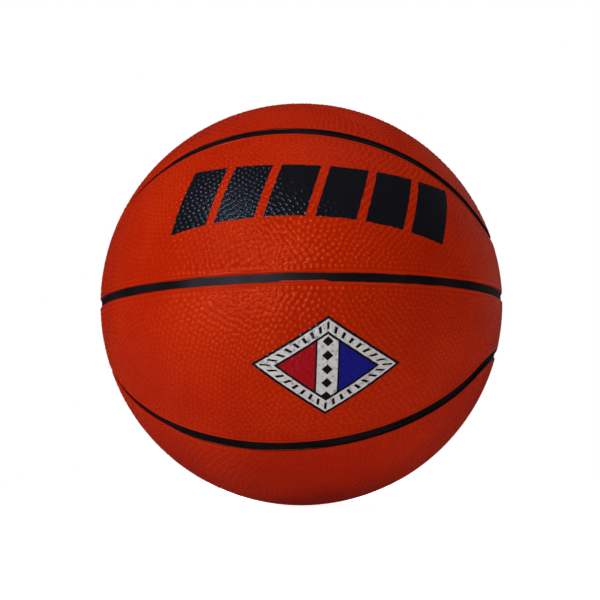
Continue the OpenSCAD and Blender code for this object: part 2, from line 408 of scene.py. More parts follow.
def smooth_step(values, low, high):
    """0 below low, 1 above high, and a soft rise between them."""
    share = np.clip((values - low) / (high - low), 0, 1)
    return share * share * (3 - 2 * share)


# Pebbles. In the first row their centres follow the channels. Elsewhere they start from an even spread,
# drift a little, and are pushed apart until they lie in wandering rows. Each pebble is a round dome that
# ends just short of its neighbours. They are laid on the upper half, because the lower half mirrors it.


def first_row(sizes):
    """Distance of the first row of pebbles from a channel's middle."""
    rim = sizes.channel / 2 + sizes.ring_shoulder + sizes.rim_width
    return rim + sizes.pebble_gap + sizes.pebble_pitch / 2


def rows_along(distance, sizes):
    """Points a pebble apart along every channel, at a distance from its middle."""
    slack = 0.02 * sizes.pebble_pitch
    circles = [(np.array([0.0, 0.0, 1.0]), QUARTER_TURN), (np.array([0.0, 1.0, 0.0]), QUARTER_TURN)]
    for axis, arc in loop_circles(sizes):
        turned = [axis * (1, back, low) for back in (-1, 1) for low in (-1, 1)]
        circles += [(one, arc) for one in {tuple(t): t for t in turned}.values()]
    offsets = [(axis, arc + side * distance / sizes.radius) for axis, arc in circles for side in (-1, 1)]
    offsets.append((np.array([0.0, 1.0, 0.0]), notch_arc(sizes) + distance / sizes.radius))
    kept = []
    for axis, arc in offsets:
        count = round(2 * math.pi * math.sin(arc) * sizes.radius / sizes.pebble_pitch)
        turns = (np.arange(count) + 0.5) * 2 * math.pi / count
        first, second = across(axis)
        outward = np.cos(turns)[:, None] * first + np.sin(turns)[:, None] * second
        ring = math.cos(arc) * axis + math.sin(arc) * outward
        kept.append(ring[channel_distance(ring, sizes) > distance - slack])
    return np.concatenate(kept)


def thinned(points, gap):
    """The points that lie at least a gap from every point kept before them."""
    tree = tree_of(points)
    dropped = set()
    for index, point in enumerate(points.tolist()):
        if index not in dropped:
            dropped |= {other for _, other, _ in tree.find_range(point, gap) if other > index}
    return points[[index for index in range(len(points)) if index not in dropped]]


def tree_of(points):
    """A search tree for the nearest of the points."""
    tree = kdtree.KDTree(len(points))
    for index, point in enumerate(points.tolist()):
        tree.insert(point, index)
    tree.balance()
    return tree


def warped(points, rng):
    """Points shifted along long soft waves, so that their rows wander."""
    waves, slowest, fastest, reach = 10, 6, 12, 0.015
    shift = np.zeros_like(points)
    for _ in range(waves):
        wave = rng.normal(size=3)
        wave *= rng.uniform(slowest, fastest) / np.linalg.norm(wave)
        shift += np.sin(points @ wave + rng.uniform(0, 2 * math.pi))[:, None] * rng.normal(size=3)
    moved = points + reach * shift
    return moved / np.linalg.norm(moved, axis=1, keepdims=True)


def laid_pebbles(sizes):
    """The pebbles of the ball's upper half."""
    # Shares of the pitch: the even spread, how far each is thrown off it, the least gap in the first rows
    # and between them and the rest, how far apart the rest is pushed, and the widest place of a pebble
    spread, scatter, row_gap, field_gap, pushed_apart, widest = 1.02, 0.15, 0.75, 0.62, 1.12, 1.06
    # How often and how far the pebbles are pushed, by how many around them, and the lowest one's height
    push_rounds, push_share, neighbours, lowest_share = 6, 0.3, 8, 0.6
    rng = np.random.default_rng(sizes.seed)
    pitch = sizes.pebble_pitch / sizes.radius
    row = rows_along(first_row(sizes), sizes)
    row = thinned(row[row[:, 2] > 0], row_gap * pitch)
    field = spread_points(count_for(spread * sizes.pebble_pitch, sizes.radius))[:, [1, 2, 0]]
    field = warped(field, rng)
    field = field[field[:, 2] > 0]
    field += rng.normal(scale=scatter * pitch, size=field.shape)
    field /= np.linalg.norm(field, axis=1, keepdims=True)
    field = field[channel_distance(field, sizes) > first_row(sizes) + field_gap * sizes.pebble_pitch]
    for _ in range(push_rounds):
        every = np.concatenate([field, row])
        tree = tree_of(every)
        near = np.array([[i for _, i, _ in tree.find_n(point, neighbours)] for point in field.tolist()])
        apart = field[:, None] - every[near[:, 1:]]
        gaps = np.linalg.norm(apart, axis=2, keepdims=True)
        push = np.clip(pushed_apart * pitch - gaps, 0, None) * apart / np.maximum(gaps, TINY)
        field = field + push_share * push.sum(1)
        field /= np.linalg.norm(field, axis=1, keepdims=True)
    centres = np.concatenate([field, row])
    tree = tree_of(centres)
    nearest = np.array([tree.find_n(point, 2)[1][2] for point in centres.tolist()])
    reaches = (sizes.radius * np.minimum(nearest, widest * pitch) - sizes.pebble_gap) / 2
    heights = sizes.pebble_height * rng.uniform(lowest_share, 1.0, len(centres))
    return Pebbles(centres, reaches, heights, rng.uniform(0, 2 * math.pi, len(centres)))


def dome_points(pebbles, sizes):
    """Points on the pebbles, ring by ring, and how high each lies over the valleys."""
    fade = 0.0005
    first = np.cross(pebbles.centres, OFF_AXIS)
    first /= np.linalg.norm(first, axis=1, keepdims=True)
    second = np.cross(pebbles.centres, first)
    points, heights = [], []
    for share, count in DOME_RINGS:
        reach = (share * pebbles.reaches / sizes.radius)[:, None]
        for step in range(count):
            turns = (pebbles.turns + 2 * math.pi * step / count)[:, None]
            moved = pebbles.centres + reach * (np.cos(turns) * first + np.sin(turns) * second)
            points.append(moved / np.linalg.norm(moved, axis=1, keepdims=True))
            heights.append(pebbles.heights * (1 - share**2))
    points, heights = np.concatenate(points), np.concatenate(heights)
    past_rim = channel_distance(points, sizes) - sizes.channel / 2 - sizes.ring_shoulder
    return points, heights * smooth_step(past_rim, sizes.rim_width, sizes.rim_width + fade)


# The mesh of a panel: rows up its edges, a fine field between them on the outside, and a plain inside.


def edge_profile(shoulders, sizes, steps=6):
    """Rows up a panel's edge: for each, the distance from the channel's middle and from the ball's
    centre, for every column."""
    half = sizes.channel / 2
    top = sizes.radius - sizes.rim_drop
    start = sizes.radius - shoulders
    rows = [(np.full_like(shoulders, half), np.full_like(shoulders, sizes.radius - sizes.cover))]
    for step in range(steps + 1):
        bend = QUARTER_TURN * step / steps
        rows.append((half + shoulders * (1 - math.cos(bend)), start + (top - start) * math.sin(bend)))
    return rows


def edge_points(feet, inwards, out, radius):
    """Points beside the channel's middle: so far out, and so far from the ball's centre."""
    lean = np.arcsin(out / radius)[:, None]
    return np.cos(lean) * feet + np.sin(lean) * inwards


def flat_map(points, centre):
    """The points drawn flat, seen from the far side of the ball, which keeps circles as circles."""
    first, second = across(centre)
    depth = 1 + points @ centre
    return np.stack([points @ first / depth, points @ second / depth], 1)


def filled(border, field, centre):
    """Triangles that fill a closed border through the points of a field. Their numbers count the border's
    points and then the field's."""
    only_inside = 1
    flat = flat_map(np.concatenate([border, field]), centre)
    around = [(i, (i + 1) % len(border)) for i in range(len(border))]
    corners, _, faces, given, _, _ = delaunay_2d_cdt(
        [Vector(p) for p in flat.tolist()], around, [], only_inside, TINY, True
    )
    if len(corners) != len(flat):
        raise RuntimeError("a panel's points lie too close together to be joined")
    source = np.array([members[0] for members in given])
    return source[np.array(faces)]


def turned_out(points, faces, outward):
    """The faces, each turned so that it looks away from the centre, or towards it."""
    first, second, third = (points[faces[:, i]] for i in range(3))
    facing = np.einsum("ij,ij->i", np.cross(second - first, third - first), first)
    wrong = (facing > 0) != outward
    faces = faces.copy()
    faces[wrong] = faces[wrong][:, ::-1]
    return faces


def counter_clockwise(feet, inwards, shoulders, middle):
    """The columns of a panel's border in the order that runs counter-clockwise on the flat map."""
    ring = flat_map(feet, middle)
    onward = np.roll(ring, -1, axis=0)
    if (ring[:, 0] * onward[:, 1] - ring[:, 1] * onward[:, 0]).sum() < 0:
        return feet[::-1], inwards[::-1], shoulders[::-1]
    return feet, inwards, shoulders


def wall_faces(rows, around):
    """Four-sided faces between rows of points that each run once round a panel."""
    here = np.arange(around)
    onward = (here + 1) % around
    walls = []
    for row in range(rows - 1):
        low, high = row * around, (row + 1) * around
        walls.append(np.stack([low + here, low + onward, high + onward, high + here], 1))
    return np.concatenate(walls)


def panel_pattern(shape, sizes, domes):
    """The mesh of one kind of panel, in its place at the top front: points and faces."""
    inside_step, pebble_margin = 0.006, 0.0001
    middle = PANEL_MIDDLES[shape] / np.linalg.norm(PANEL_MIDDLES[shape])
    feet, inwards, shoulders = counter_clockwise(*border_columns(shape, sizes), middle)
    around = len(feet)
    half, valley = sizes.channel / 2, sizes.radius - sizes.pebble_height
    profile = edge_profile(shoulders, sizes)
    for share, drop in RIM_ROWS:
        level = sizes.radius - sizes.rim_drop + drop * (sizes.rim_drop - sizes.pebble_height)
        profile.append((half + shoulders + share * sizes.rim_width, np.full_like(shoulders, level)))
    rows = [edge_points(feet, inwards, out, sizes.radius) for out, _ in profile]
    before_last = (len(rows) - 1) * around
    points, heights = domes
    if shape == "valve_band":
        points = points * (1, -1, 1)
    margin = half + sizes.ring_shoulder + sizes.rim_width + pebble_margin
    chosen = lies_inside(points, shape, margin, sizes)
    field, levels = points[chosen], valley + heights[chosen]
    back = spread_points(count_for(inside_step, sizes.radius))
    back = back[lies_inside(back, shape, half + 0.5 * inside_step, sizes)]
    outside = filled(rows[-1], field, middle) + before_last
    inside = filled(rows[0], back, middle)
    inside = np.where(inside < around, inside, inside + before_last + len(field))
    directions = np.concatenate(rows + [field, back])
    radii = np.concatenate(
        [radius for _, radius in profile] + [levels, np.full(len(back), sizes.radius - sizes.cover)]
    )
    caps = [turned_out(directions, outside, True), turned_out(directions, inside, False)]
    return directions * radii[:, None], caps + [wall_faces(len(rows), around)]


def lies_inside(points, shape, margin, sizes):
    """Whether points lie in a panel at the top front, at least a margin from every channel's middle."""
    within = (loop_distance(points, sizes) < 0) == (shape == "loop")
    measured = points * (1, -1, 1) if shape == "valve_band" else points
    clear = channel_distance(measured, sizes) > margin
    return (points[:, 1] < 0) & (points[:, 2] > 0) & within & clear


def smooth_mesh(name, points, faces):
    """A smooth mesh of points and several arrays of faces, which has to be free of faults."""
    mesh = bpy.data.meshes.new(name)
    mesh.from_pydata(points.tolist(), [], [face for part in faces for face in part.tolist()])
    mesh.shade_smooth()
    if mesh.validate():
        raise RuntimeError(f"the mesh of {name} had faults")
    return mesh


def panel_mesh(name, pattern, back, bottom):
    """The mesh of one panel, from its pattern, mirrored to its place."""
    points, faces = pattern
    points = points * (1, -1 if back else 1, -1 if bottom else 1)
    if back != bottom:
        faces = [part[:, ::-1] for part in faces]
    mesh = smooth_mesh(name, points, faces)
    mesh.set_sharp_from_angle(angle=SHARP_EDGE)
    return mesh


# The winding: one long thread in turns round the ball, on a thin closed ground that stands for the turns
# below it.


def drifting_axis(share, spacing, lean):
    """The axis of the thread's turns: it starts at the valve and spirals away from it, and stays so far
    from square to the valve that no turn crosses the valve's hole."""
    tilt = math.acos(1 - share * (1 - lean))
    around = 2 * math.pi * tilt / spacing
    return Vector((math.sin(tilt) * math.cos(around), math.cos(tilt), math.sin(tilt) * math.sin(around)))


def thread_path(sizes, lean=0.06):
    """Points along the thread as unit vectors: turns of a great circle whose axis drifts evenly."""
    spacing = math.sqrt(2 * math.pi * (1 - lean) / sizes.thread_turns)
    count = sizes.thread_turns * sizes.thread_steps
    forward = Vector((1, 0, 0))
    path = []
    for step in range(count + 1):
        axis = drifting_axis(step / count, spacing, lean)
        forward = (forward - forward.dot(axis) * axis).normalized()
        turn = 2 * math.pi * step / sizes.thread_steps
        path.append(math.cos(turn) * forward + math.sin(turn) * axis.cross(forward))
    return np.array(path)


def thread_mesh_parts(sizes):
    """The thread as a flat three-sided tube, closed at both ends: points and faces."""
    path = thread_path(sizes)
    along = np.gradient(path, axis=0)
    beside = np.cross(path, along)
    beside /= np.linalg.norm(beside, axis=1, keepdims=True)
    half = sizes.thread_width / 2
    foot, top = (sizes.winding_inside + level for level in THREAD_LEVELS)
    lines = [foot * path - half * beside, foot * path + half * beside, top * path]
    points = np.stack(lines, 1).reshape(-1, 3)
    here = 3 * np.arange(len(path) - 1)
    faces = []
    for side in range(3):
        following = (side + 1) % 3
        faces.append(np.stack([here + side, here + following, here + 3 + following, here + 3 + side], 1))
    last = len(points) - 3
    ends = np.array([[2, 1, 0], [last, last + 1, last + 2]])
    return points, [np.concatenate(faces), ends]


def ground_mesh_parts(sizes, rings=56, around=112):
    """A thin closed shell with the valve's hole, on which the thread lies: points and faces."""
    hole = math.asin(sizes.layer_hole / sizes.winding_inside)
    tilts = [hole + (math.pi - hole) * step / rings for step in range(rings)]
    turns = 2 * math.pi * np.arange(around) / around
    points = []
    for radius in (sizes.winding_inside + level for level in reversed(GROUND_LEVELS)):
        for tilt in tilts:
            level = np.full(around, math.cos(tilt))
            ring = np.stack([math.sin(tilt) * np.cos(turns), level, math.sin(tilt) * np.sin(turns)], 1)
            points.append(radius * ring)
        points.append(np.array([[0.0, -radius, 0.0]]))
    here = np.arange(around)
    onward = (here + 1) % around
    whole = rings * around + 1
    sides = wall_faces(rings, around)
    rim, pole = (rings - 1) * around, np.full(around, rings * around)
    fan = np.stack([rim + here, rim + onward, pole], 1)
    hole_wall = np.stack([whole + here, whole + onward, onward, here], 1)
    quads = np.concatenate([sides, whole + sides[:, ::-1], hole_wall])
    return np.concatenate(points), [quads, np.concatenate([fan, whole + fan[:, ::-1]])]


def winding_mesh(sizes):
    """The ground and the thread in one mesh."""
    ground, ground_faces = ground_mesh_parts(sizes)
    thread, thread_faces = thread_mesh_parts(sizes)
    faces = ground_faces + [part + len(ground) for part in thread_faces]
    return smooth_mesh("wound_thread", np.concatenate([ground, thread]), faces)


def add_piece(name, mesh, slot, *nodes):
    """A new piece that stands for CAD nodes, fastened to the ball's body, with those nodes hidden."""
    piece = bpy.data.objects.new(name, mesh)
    bpy.context.scene.collection.objects.link(piece)
    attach(piece, BODY)
    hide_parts(*nodes)
    return piece


def cad_node(name):
    """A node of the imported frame, which has to be there."""
    if name not in frame["nodes"]:
        raise RuntimeError(f"the packed frame has no node {name}")
    return frame["nodes"][name]


def dress(piece, finish):
    """The piece has that one material."""
    piece.data.materials.clear()
    piece.data.materials.append(finish)


# Finishes. Each is made of nodes that read the ball's own coordinates.


class Finish:
    """A material in the making, with short calls that add its nodes."""

    def __init__(self, name):
        self.material = bpy.data.materials.new(name)
        self.material.use_nodes = True
        self.tree = self.material.node_tree
        self.tree.nodes.clear()
        self.shader = self.tree.nodes.new("ShaderNodeBsdfPrincipled")
        output = self.tree.nodes.new("ShaderNodeOutputMaterial")
        self.tree.links.new(self.shader.outputs["BSDF"], output.inputs["Surface"])
        self.place = self.tree.nodes.new("ShaderNodeTexCoord").outputs["Object"]
        self.height = self.vector("LENGTH", self.place)

    def put(self, socket, value):
        """Links a socket to another one, or gives it a plain value."""
        if isinstance(value, bpy.types.NodeSocket):
            self.tree.links.new(value, socket)
        else:
            socket.default_value = value

    def maths(self, operation, *values):
        """One operation on numbers."""
        node = self.tree.nodes.new("ShaderNodeMath")
        node.operation = operation
        for socket, value in zip(node.inputs, values):
            self.put(socket, value)
        return node.outputs[0]

    def total(self, first, *others):
        """The values added up."""
        for other in others:
            first = self.maths("ADD", first, other)
        return first

    def product(self, first, *others):
        """The values multiplied."""
        for other in others:
            first = self.maths("MULTIPLY", first, other)
        return first

    def less(self, first, second):
        return self.maths("SUBTRACT", first, second)

    def unsigned(self, value):
        return self.maths("ABSOLUTE", value)

    def vector(self, operation, *values):
        """One operation on directions or places. Some give a number and the others a direction."""
        node = self.tree.nodes.new("ShaderNodeVectorMath")
        node.operation = operation
        for socket, value in zip(node.inputs, values):
            self.put(socket, value)
        single = operation in ("LENGTH", "DOT_PRODUCT")
        return node.outputs["Value" if single else "Vector"]

    def toward(self, way):
        """How far each place lies from the ball's middle plane, towards a direction."""
        return self.vector("DOT_PRODUCT", self.place, tuple(way))

    def step(self, value, low, high):
        """0 below low and 1 above high, or the other way round where low is the larger."""
        node = self.tree.nodes.new("ShaderNodeMapRange")
        node.interpolation_type = "SMOOTHSTEP"
        down = low > high
        for key, item in zip(("Value", "From Min", "From Max"), (value, min(low, high), max(low, high))):
            self.put(node.inputs[key], item)
        node.inputs["To Min"].default_value = 1.0 if down else 0.0
        node.inputs["To Max"].default_value = 0.0 if down else 1.0
        return node.outputs["Result"]

    def above(self, value, limit, soft):
        """1 above a limit and 0 below it, with a soft edge that reaches so far to both sides."""
        return self.step(value, limit - soft, limit + soft)

    def below(self, value, limit, soft):
        """1 below a limit and 0 above it, with a soft edge that reaches so far to both sides."""
        return self.step(value, limit + soft, limit - soft)

    def scaled(self, value, low, high):
        """A value from 0 to 1 brought to run from low to high."""
        node = self.tree.nodes.new("ShaderNodeMapRange")
        self.put(node.inputs["Value"], value)
        node.inputs["To Min"].default_value = low
        node.inputs["To Max"].default_value = high
        return node.outputs["Result"]

    def noise(self, size, detail=2.0, rough=0.5):
        """Noise with spots of about that size, in metres."""
        node = self.tree.nodes.new("ShaderNodeTexNoise")
        self.put(node.inputs["Vector"], self.place)
        node.inputs["Scale"].default_value = 0.5 / size
        node.inputs["Detail"].default_value = detail
        node.inputs["Roughness"].default_value = rough
        return node.outputs["Fac"]

    def spots(self, size, low, high, detail=2.0, rough=0.5):
        """A mask of spots of about that size: 0 where the noise is below low and 1 where it is above high."""
        return self.step(self.noise(size, detail, rough), low, high)

    def waver(self, size, reach, detail=2.0):
        """Noise that runs as far below zero as above it."""
        return self.scaled(self.noise(size, detail), -reach, reach)

    def blend(self, share, first, second):
        """A colour between two, by a share."""
        node = self.tree.nodes.new("ShaderNodeMix")
        node.data_type = "RGBA"
        self.put(node.inputs["Factor"], share)
        for key, value in (("A", first), ("B", second)):
            socket = [s for s in node.inputs if s.name == key and s.type == "RGBA"][0]
            self.put(socket, value if isinstance(value, bpy.types.NodeSocket) else (*value, 1.0))
        return [s for s in node.outputs if s.type == "RGBA"][0]

    def tinted(self, mask, strength, first, second):
        """A colour that goes part of the way to a second one where there is a mask."""
        return self.blend(self.product(mask, strength), first, second)

    def bump(self, height, depth, strength):
        """A relief that only the shading shows."""
        node = self.tree.nodes.new("ShaderNodeBump")
        node.inputs["Strength"].default_value = strength
        node.inputs["Distance"].default_value = depth
        self.put(node.inputs["Height"], height)
        self.put(self.shader.inputs["Normal"], node.outputs["Normal"])

    def set(self, **values):
        """Sockets of the shader by name, with _ for a space."""
        for key, value in values.items():
            socket = self.shader.inputs[key.replace("_", " ")]
            if not isinstance(value, bpy.types.NodeSocket) and socket.type == "RGBA":
                value = (*value, 1.0)
            self.put(socket, value)

    def seen_from(self, longitude, latitude):
        """Two distances across the ball from a place, east and north, along its surface, and a mask of
        the half of the ball that faces that place. The place is in degrees."""
        lon, lat = math.radians(longitude), math.radians(latitude)
        out = from_front(lon, lat)
        east = Vector((math.cos(lon), math.sin(lon), 0))
        north = out.cross(east)
        outward, eastward, northward = (self.toward(way) for way in (out, east, north))
        around = self.product(self.maths("ARCTAN2", eastward, outward), self.height)
        rise = self.maths("ARCSINE", self.maths("DIVIDE", northward, self.height))
        facing = self.maths("GREATER_THAN", outward, 0.0)
        return around, self.product(rise, self.height), facing


def block_print(finish):
    """The mask of a row of six slanted blocks along the upper band. The row falls a little to the right,
    and its blocks grow taller towards its ends."""
    pitch, half_gap, half_count = 0.0272, 0.0025, 3
    half_height, growth = 0.0166, 0.45
    rise_in_middle, fall, slant = 0.0186, -0.064, -0.32
    wobble_size, wobble_reach, soft = 0.0014, 0.0005, 0.0002
    around, up, facing = finish.seen_from(longitude=12.0, latitude=15.0)
    wobble = finish.waver(wobble_size, wobble_reach)
    level = finish.less(up, finish.total(finish.product(around, fall), rise_in_middle))
    slanted = finish.total(around, finish.product(level, slant), wobble)
    block = finish.above(finish.maths("PINGPONG", slanted, pitch / 2), half_gap, soft)
    reach = finish.total(finish.product(around, around, growth), half_height)
    beyond = finish.less(finish.unsigned(finish.total(level, wobble)), reach)
    high = finish.below(beyond, 0.0, soft)
    wide = finish.below(finish.unsigned(slanted), half_count * pitch - half_gap, soft)
    return finish.product(block, high, wide, facing)


def lozenge_print(finish, base, colours):
    """A nested lozenge in the lower band: a ticked white border, and red and blue halves with a white
    stripe of small black lozenges between them. Gives the colour and where there is ink."""
    half_width, half_height = 0.0405, 0.0275
    wobble_size, wobble_reach = 0.0012, 0.012
    stripe_half, stripe_outline, line_soft = 0.0055, 0.0065, 0.0001
    mark_half_width, mark_half_height, mark_half_pitch, mark_soft = 0.003, 0.0028, 0.0038, 0.05
    tick_half_pitch, tick_half_width, tick_middle, tick_half_length = 0.125, 0.042, 0.82, 0.072
    inner_line, border_inside, outer_line, share_soft = 0.645, 0.7, 0.94, 0.004
    mark_phase, tick_phase = 0.1, 4.0
    black = colours.print_black
    around, up, facing = finish.seen_from(longitude=13.5, latitude=-22.8)
    wobble = finish.waver(wobble_size, wobble_reach)
    beside = finish.unsigned(around)
    across_share = finish.maths("DIVIDE", beside, half_width)
    up_share = finish.maths("DIVIDE", finish.unsigned(up), half_height)
    # 0 in the lozenge's middle and 1 along its outline
    size = finish.total(across_share, up_share, wobble, finish.less(1.0, facing))
    worn_white = finish.spots(size=0.0011, low=0.52, high=0.72, detail=3.0)
    speckled = finish.blend(worn_white, colours.print_white, screen_colour(150, 146, 152))
    halves = finish.blend(finish.above(around, 0.0, line_soft), colours.print_red, colours.print_blue)
    halves = finish.blend(finish.below(beside, stripe_outline, line_soft), halves, black)
    row = finish.maths("PINGPONG", finish.total(up, mark_phase), mark_half_pitch)
    mark_across = finish.maths("DIVIDE", beside, mark_half_width)
    mark = finish.total(mark_across, finish.maths("DIVIDE", row, mark_half_height))
    stripe = finish.blend(finish.below(mark, 1.0, mark_soft), speckled, black)
    ink = finish.blend(finish.below(beside, stripe_half, line_soft), halves, stripe)
    # Along a side of the lozenge, from -1 at its top or bottom corner to 1 at the corner beside
    along = finish.maths("DIVIDE", finish.less(across_share, up_share), size)
    tick_place = finish.maths("PINGPONG", finish.total(along, tick_phase), tick_half_pitch)
    tick_depth = finish.unsigned(finish.less(size, tick_middle))
    tick = finish.product(
        finish.below(tick_place, tick_half_width, share_soft),
        finish.below(tick_depth, tick_half_length, share_soft),
    )
    border = finish.blend(tick, speckled, black)
    for edge, tone in ((inner_line, black), (border_inside, border), (outer_line, black)):
        ink = finish.blend(finish.above(size, edge, share_soft), ink, tone)
    printed = finish.below(size, 1.0, share_soft)
    return finish.blend(printed, base, ink), printed


def loop_distance_nodes(finish, sizes):
    """The distance of each place from the nearest loop's middle."""
    folded = finish.vector("MULTIPLY", finish.vector("ABSOLUTE", finish.place), (1.0, -1.0, 1.0))
    folded = finish.vector("NORMALIZE", folded)
    _, side, right = loop_circles(sizes)
    past = []
    for axis, arc in (side, right):
        from_axis = finish.maths("ARCCOSINE", finish.vector("DOT_PRODUCT", folded, tuple(axis)))
        past.append(finish.less(from_axis, arc))
    to_end = finish.vector("DOT_PRODUCT", folded, tuple(np.cross(side[0], right[0])))
    at_end = finish.maths("GREATER_THAN", to_end, 0.0)
    nearest = finish.total(past[0], finish.product(finish.less(past[1], past[0]), at_end))
    return finish.product(finish.unsigned(nearest), sizes.radius)


def loop_paint_mask(finish, sizes):
    """Where the cover has the loops' black paint. Its edge is ragged, and it is narrower at the left."""
    ragged_size, ragged_reach, soft = 0.003, 0.0003, 0.00008
    narrow_from, narrow_to, narrower = 0.045, 0.085, 0.001
    ragged = finish.waver(ragged_size, ragged_reach, detail=3.0)
    at_left = finish.step(finish.toward((-1.0, 0.0, 0.0)), narrow_from, narrow_to)
    drawn_in = finish.scaled(at_left, 0.0, narrower)
    edge = finish.total(loop_distance_nodes(finish, sizes), ragged, drawn_in)
    return finish.below(edge, sizes.loop_paint, soft)


def cover_tone(finish, colours):
    """The rubber's colour: broad and fine mottling."""
    broad = finish.spots(size=0.022, low=0.36, high=0.66, detail=3.0)
    tone = finish.blend(broad, colours.cover_deep, colours.cover)
    fine = finish.spots(size=0.0012, low=0.45, high=0.75)
    return finish.tinted(fine, 0.25, tone, colours.cover_deep)


def cover_finish(name, sizes, colours, printed=None):
    """Pebbled rubber: mottled, with painted shade in the valleys between the pebbles, and the loops' black
    paint on its edges.
    """
    valley_shade_from, valley_shade_to, valley_shade_share = 0.00012, 0.00002, 0.48
    smoothest, roughest, ink_smoother = 0.19, 0.26, 0.05
    pores, grain_size, grain_share, grain_depth = 0.00035, 0.0011, 0.8, 0.00005
    finish = Finish(name)
    valley = sizes.radius - sizes.pebble_height
    # Painted shade: the valleys between the pebbles go part of the way to the darker valley colour
    low = finish.step(finish.height, valley + valley_shade_from, valley + valley_shade_to)
    tone = finish.tinted(low, valley_shade_share, cover_tone(finish, colours), colours.valley)
    rough = finish.scaled(finish.noise(size=0.0035, detail=3.0), smoothest, roughest)
    if printed == "blocks":
        inked = block_print(finish)
        tone = finish.blend(inked, tone, colours.print_black)
    elif printed == "lozenge":
        tone, inked = lozenge_print(finish, tone, colours)
    tone = finish.blend(loop_paint_mask(finish, sizes), tone, colours.channel)
    finish.set(Base_Color=tone, Specular_IOR_Level=0.8, IOR=1.5, Specular_Tint=colours.gloss)
    if printed:
        rough = finish.less(rough, finish.product(inked, ink_smoother))
        finish.set(Specular_Tint=finish.blend(inked, colours.gloss, colours.ink_gloss))
    finish.set(Roughness=rough)
    grain = finish.total(finish.noise(size=pores), finish.product(finish.noise(size=grain_size), grain_share))
    finish.bump(grain, depth=grain_depth, strength=0.5)
    return finish.material


def sheen_and_thin_paint_front(finish, beside, tone, edge):
    """The ring's paint at the front: its tone, with a paler bluish painted sheen in one place on the left,
    and its edge, which draws in below the middle where the paint is thin."""
    painted_sheen_middle, painted_sheen_outside, painted_sheen_inside = -0.024, 0.034, 0.018
    thin_middle, thin_outside, thin_inside, thin_by = 0.015, 0.015, 0.01, 0.0009
    east = finish.toward((1.0, 0.0, 0.0))
    front = finish.step(finish.toward((0.0, 1.0, 0.0)), low=0.0, high=-0.01)
    # A paler bluish patch on the front left of the ring: painted sheen
    from_painted_sheen = finish.unsigned(finish.less(east, painted_sheen_middle))
    painted_sheen = finish.step(from_painted_sheen, painted_sheen_outside, painted_sheen_inside)
    painted_sheen = finish.product(painted_sheen, front, finish.noise(size=0.004, detail=3.0))
    from_thin = finish.unsigned(finish.less(east, thin_middle))
    thin = finish.step(from_thin, thin_outside, thin_inside)
    below_middle = finish.step(beside, low=0.0, high=-0.001)
    under = finish.product(below_middle, thin, front)
    # The painted sheen: the paint goes part of the way to a paler bluish grey
    tone = finish.tinted(painted_sheen, 1.3, tone, screen_colour(46, 43, 56))
    return tone, finish.total(edge, finish.product(under, thin_by))


def channel_finish(name, sizes, colours, axis=None):
    """Satin black paint with faint mottling and specks, and on the ring's front left a paler bluish painted
    sheen. Beside the rings it stops short of the walls, and on the ring it also thins out at one place on the
    front."""
    ragged_reach, soft = 0.0003, 0.0001
    finish = Finish(name)
    dust = finish.spots(size=0.0016, low=0.58, high=0.82, detail=4.0, rough=0.6)
    tone = finish.tinted(dust, 0.22, colours.channel, screen_colour(60, 56, 60))
    worn = finish.spots(size=0.014, low=0.40, high=0.70, detail=3.0)
    tone = finish.tinted(worn, 0.3, tone, screen_colour(38, 34, 42))
    if axis:
        beside = finish.toward(axis)
        fine = finish.waver(size=0.0025, reach=ragged_reach, detail=3.0)
        edge = finish.total(finish.unsigned(beside), fine, finish.waver(size=0.012, reach=ragged_reach))
        # Of the two axes only the ring's points up: only the ring gets the painted sheen and the thin place
        if axis[2]:
            tone, edge = sheen_and_thin_paint_front(finish, beside, tone, edge)
        bare = finish.above(edge, sizes.ring_paint, soft)
        tone = finish.blend(bare, tone, cover_tone(finish, colours))
    rough = finish.scaled(finish.noise(size=0.006, detail=3.0), low=0.34, high=0.46)
    finish.set(Base_Color=tone, Roughness=rough, Specular_IOR_Level=0.12)
    finish.bump(finish.noise(size=0.0009, detail=3.0), depth=0.00008, strength=0.5)
    return finish.material


def moulded_finish(name, tone, pale, spot, rough, relief, shine=0.4):
    """Moulded rubber: a tone with paler bloom in spots, and a fine relief."""
    rough_reach, relief_depth = 0.08, 0.15 * relief
    finish = Finish(name)
    bloom = finish.spots(size=spot, low=0.5, high=0.8, detail=4.0, rough=0.6)
    varied = finish.noise(size=0.6 * spot, detail=3.0)
    finish.set(
        Base_Color=finish.tinted(bloom, 0.35, tone, pale),
        Roughness=finish.scaled(varied, rough - rough_reach, rough + rough_reach),
        Specular_IOR_Level=shine,
    )
    finish.bump(finish.noise(size=relief, detail=3.0), depth=relief_depth, strength=0.6)
    return finish.material


def thread_finish(name, colours):
    """Nylon thread: twisted strands that cross in several directions, with painted shade in the grooves
    between them.
    """
    ways = ((1.0, 0.3, 0.2), (-0.2, 1.0, 0.4), (0.3, -0.4, 1.0))
    twist_rate = 5200.0
    finish = Finish(name)
    strands = 0.0
    for way in ways:
        turn = finish.product(finish.toward(Vector(way).normalized()), twist_rate)
        strands = finish.maths("MAXIMUM", strands, finish.unsigned(finish.maths("SINE", turn)))
    soiled = finish.spots(size=0.01, low=0.4, high=0.75, detail=4.0)
    tone = finish.tinted(soiled, 0.4, colours.thread, screen_colour(176, 164, 138))
    # Darker between the strands: painted shade in the grooves
    tone = finish.blend(finish.step(strands, low=0.75, high=0.4), tone, screen_colour(150, 138, 114))
    finish.set(Base_Color=tone, Roughness=finish.scaled(strands, low=0.75, high=0.5), Specular_IOR_Level=0.4)
    finish.bump(strands, depth=0.0001, strength=0.8)
    return finish.material


